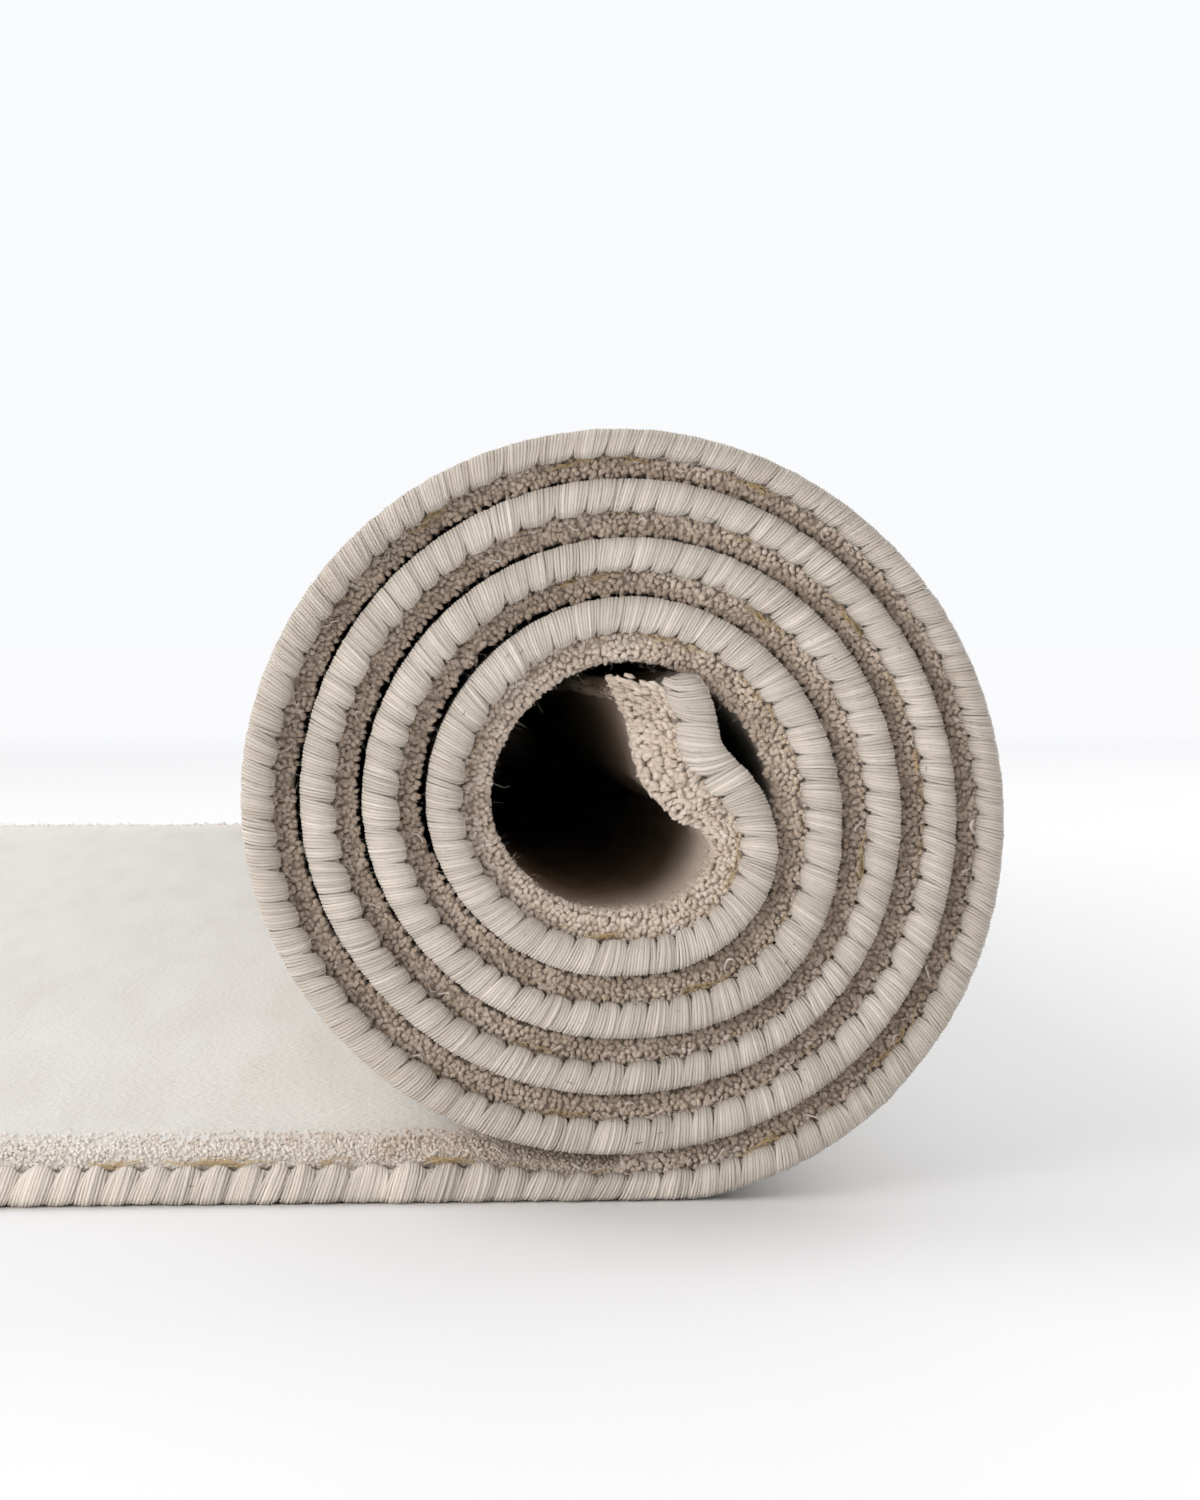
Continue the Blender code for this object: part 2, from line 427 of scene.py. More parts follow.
def overcast_yarn():
    """Pale undyed yarn: each strand its own shade, with the fibres' fine twist."""
    n = Nodes("overcast_yarn")
    shade = n.blend(n.value("tone"), n.noise(90, 3), 0.6)
    colour = n.ramp(
        shade,
        (0.15, (0.55, 0.48, 0.41)),
        (0.5, (0.655, 0.592, 0.526)),
        (0.85, (0.90, 0.815, 0.725)),
    )
    twist = n.add(
        "ShaderNodeTexWave",
        {"Vector": n.texture_places.outputs["UV"], "Scale": 0.9, "Distortion": 2.0, "Detail": 2.0},
        wave_type="BANDS",
        bands_direction="DIAGONAL",
    ).outputs["Fac"]
    fine = n.bump(n.noise(5200, 2), 0.00008, 0.6)
    return n.wool(colour, n.bump(twist, 0.00006, 0.5, fine))


PILE_MIDDLE = (0.76, 0.64, 0.535)
# Painted shade: the pile's colour where it lies deep between two turns.
PILE_SHADED = (0.42, 0.325, 0.25)  # deep between two turns


def pile_wool():
    """The cut pile: warmer than the overcast yarn, and darker where a lump's tone is low."""
    n = Nodes("pile_wool")
    shade = n.blend(n.value("tone"), n.noise(60, 3), 0.7)
    colour = n.ramp(
        shade,
        (0.05, PILE_SHADED),
        (0.5, PILE_MIDDLE),
        (0.85, (0.93, 0.875, 0.82)),
    )
    return n.wool(colour, n.bump(n.noise(3600, 4), 0.0002, 0.7), 0.45)


def cloth_wool():
    """The whole cloth: dense fine tufts with brushed streaks, warmer by its edges and in the core,
    with painted shade at the rim where the turns press on it."""
    n = Nodes("cloth_wool")
    laid_out = n.texture_places.outputs["UV"]
    brushed = n.add(
        "ShaderNodeMapping",
        {"Vector": laid_out, "Rotation": (0, 0, math.radians(32)), "Scale": (1.0, 0.12, 1.0)},
    ).outputs["Vector"]
    tufts = n.add(
        "ShaderNodeTexVoronoi", {"Vector": laid_out, "Scale": 620.0, "Randomness": 0.9}
    ).outputs["Distance"]
    shade = n.blend(n.noise(70, 3, brushed), n.noise(900, 2), 0.6)
    pale = n.ramp(
        shade,
        (0.25, (0.69, 0.65, 0.60)),
        (0.5, (0.76, 0.735, 0.695)),
        (0.75, (0.81, 0.79, 0.76)),
    )
    warm = n.mix(n.value("warmth"), pale, PILE_MIDDLE)
    # Painted shade: the rim between two turns darkens towards PILE_SHADED.
    colour = n.mix(n.value("shaded"), warm, PILE_SHADED)
    soft = n.bump(n.noise(2400, 3), 0.0004, 0.6)
    return n.wool(colour, n.bump(tufts, 0.0006, 0.5, soft))


def straw_yarn():
    """The ground's mustard threads."""
    n = Nodes("straw_thread")
    colour = n.ramp(
        n.noise(400, 2), (0.3, (0.54, 0.36, 0.15)), (0.7, (0.70, 0.53, 0.29))
    )
    return n.wool(colour, n.bump(n.noise(3000, 2), 0.0001))


def speck_wool():
    """Dark hairs of the fleece."""
    n = Nodes("dark_speck")
    colour = n.ramp(n.noise(900, 1), (0.3, (0.05, 0.04, 0.035)), (0.7, (0.11, 0.09, 0.08)))
    return n.wool(colour, n.bump(n.noise(2000, 1), 0.0001))


# ---- the cloth ---------------------------------------------------------------------------------

ACROSS_STEPS_MM = (0, 1, 2.5, 4.5, 7, 10, 14, 19, 26, 36, 50, 70, 100, 150, 230, 350)
ALONG_STEP = 3.8 * MM
CLOTH_HALF = CARPET_WIDTH / 2 - CORD_DEPTH - 0.2 * MM  # it stops just short of the edge cords


def two_sided_sheet():
    """A closed sheet of two sides, with each of its points' places along and across the carpet,
    and whether it is on the pile side."""
    near = [-CLOTH_HALF + step * MM for step in ACROSS_STEPS_MM]
    rows = np.array(near + [0.0] + [-value for value in near[::-1]])
    columns = np.arange(CORD_DEPTH, winding.length - CORD_DEPTH, ALONG_STEP)
    bm = bmesh.new()
    bmesh.ops.create_grid(bm, x_segments=len(columns) - 1, y_segments=len(rows) - 1, size=1)
    bmesh.ops.solidify(bm, geom=bm.faces[:], thickness=-0.1)
    bmesh.ops.recalc_face_normals(bm, faces=bm.faces[:])
    bm.verts.ensure_lookup_table()
    co = np.array([v.co for v in bm.verts])
    along = np.interp(co[:, 0], np.linspace(-1, 1, len(columns)), columns)
    across = np.interp(co[:, 1], np.linspace(-1, 1, len(rows)), rows)
    return bm, along, across, np.abs(co[:, 2]) > 0.05


def cloth_top(along, inset, spots):
    """The height of the pile side: under the lumps near the edges, and full further in."""
    pressed = smooth_step(along, ROLL_START + 0.02, ROLL_START + 0.05) * smooth_step(
        -along, -FREE_START - 0.01, -FREE_START + 0.03
    )
    deep = smooth_step(inset, 12 * MM, 40 * MM)
    lumps = soft_noise(spots, 7 * MM) * 0.35 * MM + soft_noise(spots, 2.2 * MM, 5) * 0.25 * MM
    drop = edge_drop(along, CORD_DEPTH - 1.6 * MM + inset)
    near = face_top(along) - (0.8 - 0.6 * (along < ROLL_START)) * MM - drop
    inside = winding.thickness(along) - 0.9 * MM + pressed * (TURN_GAP + 0.9 * MM)
    return near * (1 - deep) + inside * deep + lumps * (1 - 0.6 * pressed)


def over_cords(along, across, inset):
    """How far the pile side reaches out over the end cords, and over the side cords."""
    over_end = 6.2 * MM * (
        smooth_step(along, winding.length - 40 * MM, winding.length - 9 * MM)
        - smooth_step(-along, -40 * MM, -9 * MM)
    )
    most = (1.65 + 0.3 * (along < ROLL_START)) * MM
    return over_end, most * np.sign(across) * np.exp(-inset / (4 * MM))


def carpet_cloth(material):
    """The carpet between its edge cords, back and pile side, as one closed sheet."""
    bm, along, across, pile_side = two_sided_sheet()
    inset = np.minimum(across + CLOTH_HALF, CLOTH_HALF - across)
    spots = np.stack([along, across, 0 * along], axis=1)
    back = 0.25 * MM + 0.1 * MM * soft_noise(spots, 3 * MM, 9)
    height = np.where(pile_side, cloth_top(along, inset, spots), back)
    over_end, over_side = over_cords(along, across, inset)
    points = winding.place(along + over_end * pile_side, across + over_side * pile_side, height)
    for vert, point in zip(bm.verts, points):
        vert.co = point
    mesh = bpy.data.meshes.new("carpet_cloth")
    bm.to_mesh(mesh)
    bm.free()
    mesh.shade_smooth()
    obj = add_object("carpet_cloth", mesh)
    add_uv(obj, np.stack([along, across], axis=1))
    core = smooth_step(along, FREE_START - 0.05, FREE_START)
    by_edge = (1 - smooth_step(inset, 3 * MM, 22 * MM)) * smooth_step(along, 0.30, 0.40)
    add_values(obj, "warmth", np.maximum(core, by_edge) * pile_side)
    # Painted shade at the rim of the pile side, where it lies between two turns.
    add_values(obj, "shaded", 0.55 * shaded_share(along) * (inset < 3 * MM) * pile_side)
    return finish_piece(obj, "carpet", material)


# ---- the pile ----------------------------------------------------------------------------------

FACE_ROWS = 11  # more than fit, and the ones over the top are left out
UPRIGHT = (0.4, 0.35, 1.0)  # the way the lumps tend to lie: along, inwards and up
LYING = (1.0, 1.0, 0.6)
NUB_HALF_SIZES = ((0.7, 1.1), (0.52, 0.72), (0.48, 0.66))  # least and most, for its length
Gap = namedtuple("Gap", "turned_deg gap_mm")
DARK_GAPS = (Gap(0, 0.2), Gap(200, 0.45), Gap(560, 0.8), Gap(920, 1.2))  # on the upper left


def nub(rounds, rings):
    """One little lump of the pile's wool, a ball of radius 1."""
    bm = bmesh.new()
    bmesh.ops.create_uvsphere(bm, u_segments=rounds, v_segments=rings, radius=1)
    return mesh_arrays(bm)


def face_top(along):
    """How high the pile reaches at its front face: up to the turn above, save on the upper left,
    where a dark gap is left under it."""
    turned = winding.angle(along)
    round_turn = np.mod(turned, 360)
    gap = np.interp(turned, *zip(*DARK_GAPS)) * MM
    window = smooth_step(round_turn, 188, 222) * (1 - smooth_step(round_turn, 262, 300))
    rolled = (along > ROLL_START) & (along < FREE_START)
    return winding.thickness(along) + np.where(rolled, 0.9 * MM - gap * window, 0)


def shaded_share(along):
    """How much painted shade the pile gets: 1 where it is pressed between two turns, and 0 where it
    is open.
    """
    return smooth_step(along, ROLL_START, ROLL_START + 0.04) * smooth_step(
        -along, -FREE_START - 0.02, -FREE_START
    )


def edge_shape(along):
    """How deep and how high the rounded shoulder of the pile is along its edges."""
    pressed = (along > ROLL_START) & (along < FREE_START)
    flat = along <= ROLL_START
    depth = np.where(pressed, 0.8, np.where(flat, 10.0, 2.6)) * MM
    return depth, np.where(pressed, 0.8, np.where(flat, 5.3, 2.6)) * MM


def edge_drop(along, inwards):
    """How far the shoulder is below the full pile."""
    depth, high = edge_shape(along)
    share = np.clip((inwards - PILE_FACE) / depth, 0, 1)
    return high * (1 - np.sqrt(1 - (1 - share) ** 2))


def face_places(rng, start, end, pitch, row_pitch, thick_as=None):
    """Places of the nubs in the upright face of the pile, from the seam to its top. The face is as
    high as the carpet is thick there, or all along as thick as at the place thick_as."""
    if thick_as is None:
        lines = winding.evenly(start, end, pitch, 10 * MM)
    else:
        lines = np.arange(start, end, pitch)
    line, row = np.meshgrid(lines, np.arange(FACE_ROWS))
    along = line + (0.5 * (row % 2) + rng.normal(0, 0.28, line.shape)) * pitch
    like = along if thick_as is None else np.full_like(along, thick_as)
    seam = winding.yarn_height(like) - SEAM_DEPTH
    height = seam + (row + 0.35 + rng.normal(0, 0.25, line.shape)) * row_pitch
    top = face_top(like) - 0.45 * MM
    kept = height < top
    along, height, top, like = along[kept], height[kept], top[kept], like[kept]
    depth, high = edge_shape(like)
    over = np.clip(1 - (top - height) / high, 0, 1)
    rounded = depth * (1 - np.sqrt(1 - over**2))
    return along, PILE_FACE + rounded + rng.normal(0, 0.2 * MM, len(along)), height


def top_places(rng, start, end, first, reach, pitch):
    """Places of the nubs on the open top of the pile, which sink into the cloth further in."""
    lines = winding.evenly(start, end, pitch, 12 * MM)
    line, row = np.meshgrid(lines, np.arange(int((reach - first) / pitch)))
    along = line + (0.5 * (row % 2) + rng.normal(0, 0.3, line.shape)) * pitch
    inwards = first + (row + rng.normal(0, 0.3, line.shape)) * pitch
    kept = rng.random(line.shape) > (row * pitch / (reach - first)) ** 2
    along, inwards = along[kept], inwards[kept]
    sunk = 1.2 * MM * ((inwards - first) / (reach - first)) + 0.5 * MM + edge_drop(along, inwards)
    height = winding.thickness(along) - sunk + rng.normal(0, 0.14 * MM, len(along))
    return along, inwards, height


def nub_shapes(rng, ball, count, length, ways):
    """Nubs about their own middles, each longer than wide, turned, bent and dented its own way:
    rows of along, inwards and up offsets."""
    axis = rng.normal(0, 1, (count, 3)) * ways
    axis /= np.linalg.norm(axis, axis=1)[:, None]
    second = np.cross(axis, rng.normal(0, 1, (count, 3)))
    second /= np.linalg.norm(second, axis=1)[:, None]
    third = np.cross(axis, second)
    half_sizes = [rng.uniform(low, high, count) for low, high in NUB_HALF_SIZES]
    half = length / 2 * np.stack(half_sizes, axis=1)
    dents = 1 + rng.normal(0, 0.10, (count, len(ball)))
    bent = 0.35 * (ball[None, :, 0] ** 2 - 0.4) * rng.uniform(-1, 1, count)[:, None]
    local = [ball[None, :, k] * dents * half[:, k, None] for k in range(3)]
    local[1] = local[1] + bent * half[:, 0, None]
    turned = zip(local, (axis, second, third))
    return sum(part[:, :, None] * way[:, None, :] for part, way in turned)


def nub_tones(rng, along, inwards, height):
    """Each nub's tone: darker towards the turn above and between two turns, as painted shade, and
    pale on the open flat stretch, as painted light.
    """
    spots = np.stack([along, inwards, height], axis=1)
    yarn = winding.yarn_height(along)
    up = np.clip((height - yarn) / (face_top(along) - yarn), 0, 1)
    # Random tone, with painted shade that darkens the nubs towards the turn above.
    tones = 0.56 + rng.normal(0, 0.09, len(along)) + 0.25 * soft_noise(spots, 5 * MM) - 0.2 * up
    # More painted shade where the pile lies between two turns.
    tones = tones - shaded_share(along) * (0.12 + 0.22 * up)
    # Painted light: the nubs of the open flat stretch are paler than those on the roll.
    return np.clip(tones + 0.6 * (1 - smooth_step(along, ROLL_START - 0.12, ROLL_START)), 0, 1)


def pile_nubs(name, places, rng, shape, material, side, length, ways):
    """Little lumps of wool at their places, as one piece of the pile."""
    along, inwards, height = places
    ball = shape[0]
    offset = nub_shapes(rng, ball, len(along), length, ways)
    offset[:, :, 0] /= winding.stretch(along, height)[:, None]
    offset[:, :, 1] *= 0.9
    offset[:, :, 2] *= 1 - 0.2 * winding.bent_share(along)[:, None]
    points = winding.place(
        along[:, None] + offset[:, :, 0],
        side * (CARPET_WIDTH / 2 - inwards[:, None] - offset[:, :, 1]),
        height[:, None] + offset[:, :, 2],
    )
    tones = nub_tones(rng, along, inwards, height)
    uv = np.broadcast_to(ball[None, :, :2], (len(along), len(ball), 2))
    obj = many(name, shape, points, tones, uv)
    if side > 0:
        obj.data.flip_normals()
    return finish_piece(obj, "carpet", material)


def pile_end(name, at, outwards, start, end, shape, material, coarse):
    """The upright face of the pile along one end, between two places across the carpet."""
    rng = np.random.default_rng(SEED + 900 + outwards + int(coarse * 10))
    across, inwards, height = face_places(
        rng, start, end, NUB_PITCH * coarse, NUB_ROW_PITCH * coarse, FREE_START + 0.01
    )
    along = at - outwards * (inwards - END_FACE_REACH)
    places = (along, across + CARPET_WIDTH / 2, height)
    return pile_nubs(name, places, rng, shape, material, -1, NUB_LENGTH * coarse, UPRIGHT)


def pile_face(name, start, end, shape, material, side=-1, coarse=1.0):
    """The upright face of the pile along one edge of a stretch of the carpet."""
    rng = np.random.default_rng(SEED + int(start * 1000) + side)
    places = face_places(rng, start, end, NUB_PITCH * coarse, NUB_ROW_PITCH * coarse)
    return pile_nubs(name, places, rng, shape, material, side, NUB_LENGTH * coarse, UPRIGHT)


def pile_top(name, start, end, reach, shape, material, side=-1, coarse=1.0):
    """The open top of the pile near one edge of a stretch of the carpet."""
    rng = np.random.default_rng(SEED + 500 + int(start * 1000) + side)
    places = top_places(rng, start, end, PILE_FACE + 1.5 * MM, reach, NUB_PITCH * coarse)
    return pile_nubs(name, places, rng, shape, material, side, NUB_LENGTH * coarse, LYING)


# ---- the overcast edges ------------------------------------------------------------------------

def section(turn, inset):
    """The cord's rounded section: outwards over the carpet's edge, and up from its middle."""
    power = 2 / 2.35
    c, s = np.cos(turn), np.sin(turn)
    out = (CORD_DEPTH / 2 - inset) * np.sign(c) * np.abs(c) ** power
    up = (YARN_HEIGHT / 2 - inset) * np.sign(s) * np.abs(s) ** power
    return out, up


def bundles(start, end, rng, pitch):
    """Strands along an edge, in bundles: the middle of each one's bundle, its own share across it
    from -1 to 1, and the bundle's number and width."""
    centres, shares, numbers, widths = [], [], [], []
    at, number = start, 0
    while at < end:
        wide = BUNDLE_WIDTH * rng.uniform(0.72, 1.28)
        if at + wide * 1.4 > end:
            wide = end - at
        count = max(4, round(wide / pitch))
        for k in range(count):
            centres.append(at + wide / 2)
            shares.append((k + 0.5) / count * 2 - 1)
            numbers.append(number)
            widths.append(wide)
        at += wide + ROUNDING
        number += 1
    return np.array(centres), np.array(shares), np.array(numbers), np.array(widths)


def strands(shape, rng, spread, bulge, lean, pitch, limits=None):
    """The strands of one overcast edge, in bundles. Gives their points as the distance along the
    edge, the distance out over it and the height above the back, with their shades."""
    centre, share, number, wide = spread
    count, passes = len(centre), number[-1] + 1
    per_bundle = [rng.normal(0, 1, passes)[number] for _ in range(4)]
    x, y, z = (shape[0][:, k][None, :] for k in range(3))
    turn = (-0.78 + 1.56 * z) * math.pi  # from the ground under the cord, round it, to its top
    coarse = pitch / STRAND_PITCH
    swell = bulge * (1 - share**2) * (1 + 0.3 * per_bundle[0]) - bulge * 0.5
    swell = (swell + rng.normal(0, 0.11 * MM, count))[:, None]
    out, up = section(turn, STRAND_THICKNESS / 2)
    place = centre + share * wide / 2
    if limits:
        from_end = np.minimum(place - limits[0], limits[1] - place)
        narrow = 0.25 + 0.75 * np.sqrt(1 - (1 - np.clip(from_end / (6 * MM), 0, 1)) ** 2)
        out, up = out * narrow[:, None], up * (0.3 + 0.7 * narrow[:, None])
    over_top = np.clip(np.sin(turn), 0, 1) ** 2
    out = out + np.cos(turn) * swell
    up = up + np.sin(turn) * swell * 0.35 - over_top * (share[:, None] ** 2) * bulge
    slant = lean * (1 + 0.10 * per_bundle[1]) + rng.normal(0, 0.10 * MM, count)
    bend = 0.12 * MM * np.sin(turn * 1.5 + per_bundle[2][:, None])
    bend = bend + rng.normal(0, 0.03 * MM, count)[:, None]
    half_width = STRAND_WIDTH / 2 * coarse * rng.uniform(0.85, 1.25, count)
    ring = y * STRAND_THICKNESS / 2 * coarse
    along = (
        centre[:, None]
        + (share * wide / 2)[:, None] * (1 - 0.18 * over_top)
        + slant[:, None] * np.sin(turn) * 0.5
        + bend
        - x * half_width[:, None]
    )
    height = YARN_HEIGHT / 2 + up + ring * np.sin(turn)
    # Each strand's tone differs at random, by strand and by bundle; the strands at a bundle's sides
    # are darker, as painted shade in the grooves between bundles.
    tones = 0.56 + rng.normal(0, 0.14, count) + 0.06 * per_bundle[3] - 0.2 * share**6
    uv = np.stack(np.broadcast_arrays(z * 18, y + 0 * along), axis=-1)
    return along, out + ring * np.cos(turn), np.maximum(height, 0.02 * MM), tones, uv


def side_overcast(name, start, end, side, material, bulge, lean, shape, pitch=STRAND_PITCH):
    """The strands sewn over one long edge, side -1 for the front edge and 1 for the back one."""
    rng = np.random.default_rng(SEED + int(start * 100) + side)
    spread = bundles(start, end, rng, pitch)
    limits = (0, winding.length)
    along, out, height, tones, uv = strands(shape, rng, spread, bulge, lean, pitch, limits)
    across = side * (CARPET_WIDTH / 2 - CORD_DEPTH / 2 + out)
    height = height * winding.yarn_height(along) / YARN_HEIGHT
    turned = winding.angle(along[:, 0])
    # Painted shade: most of the outermost turn's yarn is darker, fading out in the next turn.
    tones = tones - 0.26 * smooth_step(turned, 5, 40) * (1 - smooth_step(turned, 250, 420))
    # Painted light: the yarn of the flat stretch is paler than on the roll.
    tones = tones + 0.6 * (1 - smooth_step(along[:, 0], ROLL_START - 0.16, ROLL_START))
    obj = many(name, shape, winding.place(along, across, height), np.clip(tones, 0, 1), uv)
    if side > 0:
        obj.data.flip_normals()
    node = "overcast_front" if side < 0 else "overcast_back"
    return finish_piece(obj, node, material)


def cord_filling(name, side, node, material):
    """The solid cord that the strands of a long edge go over."""
    columns = np.arange(0.5 * MM, winding.length - 0.5 * MM, 5 * MM)
    points, faces = rod(12, len(columns) - 2)
    along = np.interp(points[:, 2], np.linspace(0, 1, len(columns)), columns)
    out, up = section(np.arctan2(points[:, 1], points[:, 0]), FILLING_INSET)
    across = side * (CARPET_WIDTH / 2 - CORD_DEPTH / 2 + out)
    height = (YARN_HEIGHT / 2 + up) * winding.yarn_height(along) / YARN_HEIGHT
    place = winding.place(along, across, height)
    obj = new_piece(name, place, faces)
    # Its darker tone is painted shade in the gaps between the strands.
    add_values(obj, "tone", np.full(len(place), FILLING_TONE))
    add_uv(obj, np.stack([along, up], axis=1))
    if side < 0:
        obj.data.flip_normals()
    return finish_piece(obj, node, material)


def end_overcast(name, at, outwards, node, material, shape, pitch=1.6 * MM):
    """The strands sewn over one end of the carpet, outwards -1 at the floor end, 1 at the core."""
    rng = np.random.default_rng(SEED + 77 + outwards)
    half = CARPET_WIDTH / 2 - CORD_DEPTH * 0.45
    spread = bundles(-half, half, rng, pitch)
    across, out, height, tones, uv = strands(shape, rng, spread, 0.45 * MM, 2.2 * MM, pitch)
    along = at + outwards * (out - CORD_DEPTH / 2)
    obj = many(name, shape, winding.place(along, across, height), np.clip(tones, 0, 1), uv)
    if outwards < 0:
        obj.data.flip_normals()
    return finish_piece(obj, node, material)


def end_filling(name, at, outwards, node, material):
    """The solid cord under the strands of one end."""
    points, faces = rod(12, 0)
    out, up = section(np.arctan2(points[:, 1], points[:, 0]), FILLING_INSET)
    along = at + outwards * (out - CORD_DEPTH / 2)
    share = 2 * points[:, 2] - 1
    place = winding.place(along, share * (CARPET_WIDTH / 2 - CORD_DEPTH), YARN_HEIGHT / 2 + up)
    obj = new_piece(name, place, faces)
    # Its darker tone is painted shade in the gaps between the strands.
    add_values(obj, "tone", np.full(len(place), FILLING_TONE))
    add_uv(obj, np.stack([share, up], axis=1))
    if outwards > 0:
        obj.data.flip_normals()
    return finish_piece(obj, node, material)


# ---- threads and fibres ------------------------------------------------------------------------

STRAW_CLUMPS_MM = (-102, -84, -78, -60, -34)  # on the floor, from where the roll begins
FUZZ_REACH = 2.5 * MM  # no hair stands out further than this from the front edge
LEAST_HEIGHT = 0.03 * MM  # no hair goes lower than this over the carpet's back


def curled(rng, shape, count, length, radius):
    """Short curled threads about their own middles: their along, across and up offsets."""
    x, y, z = shape[0].T
    long = rng.uniform(*length, count)[:, None]
    thin = rng.uniform(*radius, count)[:, None] * (1 - 0.5 * np.abs(2 * z - 1) ** 3)
    phase = rng.uniform(0, 2 * math.pi, (4, count, 1))
    sway = long * 0.16
    return (
        long * (z - 0.5) + sway * np.sin(5.5 * z + phase[0]),
        sway * np.sin(4.5 * z + phase[1]) + x * thin,
        sway * np.sin(5.0 * z + phase[2]) + y * thin,
    )


def thread_uv(shape, count, repeats):
    """The same UV map for each thread: how far along it, this many times over."""
    z = shape[0][:, 2]
    return np.broadcast_to(np.stack([z * repeats, 0 * z], axis=1), (count, len(z), 2))


def straw_threads(material):
    """Mustard threads of the ground that peep out between the overcast edge and the pile."""
    rng = np.random.default_rng(SEED + 5)
    count = 420
    shape = rod(3, 5)
    seats = np.concatenate(
        [
            ROLL_START + np.array(STRAW_CLUMPS_MM) * MM,
            rng.uniform(0.02, ROLL_START - 0.12, 4),
            rng.uniform(ROLL_START, winding.length - 0.02, 22),
        ]
    )
    seat = seats[rng.integers(0, len(seats), count)] + rng.normal(0, 3.2 * MM, count)
    loose = rng.random(count) < 0.25
    seat = np.where(loose, rng.uniform(0.02, winding.length - 0.02, count), seat)
    along, across, up = curled(rng, shape, count, (3 * MM, 8 * MM), (0.10 * MM, 0.19 * MM))
    rise = rng.uniform(-0.2, 1.0, count)[:, None] * MM
    inwards = rng.uniform(4.2, 6.4, count)[:, None] * MM
    points = winding.place(
        seat[:, None] + along,
        FRONT + inwards + across * 0.6,
        winding.yarn_height(seat)[:, None] + rise * 0.7 + up * 0.6,
    )
    obj = many("straw_threads", shape, points, rng.random(count), thread_uv(shape, count, 8))
    return finish_piece(obj, "carpet", material)


def loose_loops(material):
    """Pale ends of yarn that stand out of the seam here and there."""
    rng = np.random.default_rng(SEED + 6)
    count = 90
    shape = rod(3, 6)
    seat = rng.uniform(0.01, winding.length - 0.02, count)
    along, across, up = curled(rng, shape, count, (2.5 * MM, 6 * MM), (0.14 * MM, 0.26 * MM))
    rise = rng.uniform(-0.6, 2.2, count)[:, None] * MM
    inwards = rng.uniform(4.6, 6.2, count)[:, None] * MM
    points = winding.place(
        seat[:, None] + along * 0.7,
        FRONT + inwards + across * 0.7,
        winding.yarn_height(seat)[:, None] + rise + up * 1.6,
    )
    tones = rng.uniform(0.6, 1, count)
    obj = many("loose_loops", shape, points, tones, thread_uv(shape, count, 8))
    return finish_piece(obj, "carpet", material)


def dark_specks(material):
    """Tiny dark hairs of the fleece caught in the yarn."""
    rng = np.random.default_rng(SEED + 8)
    count = 60
    shape = rod(3, 3)
    seat = rng.uniform(0.02, winding.length - 0.02, count)
    along, across, up = curled(rng, shape, count, (0.5 * MM, 1.6 * MM), (0.09 * MM, 0.15 * MM))
    turn = rng.uniform(-0.1, 0.45, count)[:, None] * math.pi
    out, high = section(turn, -0.12 * MM)
    points = winding.place(
        seat[:, None] + along,
        FRONT + CORD_DEPTH / 2 - out + across * 0.4,
        (YARN_HEIGHT / 2 + high) * winding.yarn_height(seat)[:, None] / YARN_HEIGHT + up * 0.6,
    )
    obj = many("dark_specks", shape, points, rng.random(count), thread_uv(shape, count, 1))
    return finish_piece(obj, "overcast_front", material)


def fuzz(name, places, reach, length, rng, node, material):
    """Fine hairs: places are their feet (along, in from the front edge, up), reach their ways."""
    shape = rod(3, 1)
    along, inwards, height = places
    count = len(along)
    x, y, z = shape[0].T
    long = (length * rng.uniform(0.5, 1.5, count))[:, None]
    bend = rng.normal(0, 0.4, (3, count, 1)) * long * np.sin(z * math.pi)
    radius = rng.uniform(0.026, 0.05, count)[:, None] * MM * (1 - 0.7 * z)
    off = reach[:, :, None] * long * z + bend
    points = winding.place(
        along[:, None] + off[0] + x * radius,
        np.maximum(FRONT + inwards[:, None] + off[1], FRONT - FUZZ_REACH),
        np.maximum(height[:, None] + off[2] + y * radius, LEAST_HEIGHT),
    )
    tones = rng.uniform(0.5, 1.0, count)
    obj = many(name, shape, points, tones, thread_uv(shape, count, 1))
    return finish_piece(obj, node, material)


def face_fuzz(name, start, end, pitch, material):
    """Hairs standing off the upright face of the pile."""
    rng = np.random.default_rng(SEED + 40 + int(start * 100))
    along, inwards, height = face_places(rng, start, end, pitch, pitch)
    reach = rng.normal(0, 0.7, (3, len(along)))
    reach[1] = -np.abs(reach[1]) * 0.7 - 0.1
    reach[2] += 1.1 * (height > face_top(along) - 1.8 * MM)
    places = (along, inwards - 0.3 * MM, height)
    return fuzz(name, places, reach, 1.4 * MM, rng, "carpet", material)


def top_fuzz(name, start, end, reach_in, pitch, material):
    """Hairs standing off the open top of the pile."""
    rng = np.random.default_rng(SEED + 60 + int(start * 100))
    along, inwards, height = top_places(rng, start, end, PILE_FACE + 1 * MM, reach_in, pitch)
    reach = rng.normal(0, 0.6, (3, len(along)))
    reach[2] = np.minimum(np.abs(reach[2]) + 0.3, 0.9)
    places = (along, inwards, height + 0.1 * MM)
    return fuzz(name, places, reach, 1.0 * MM, rng, "carpet", material)


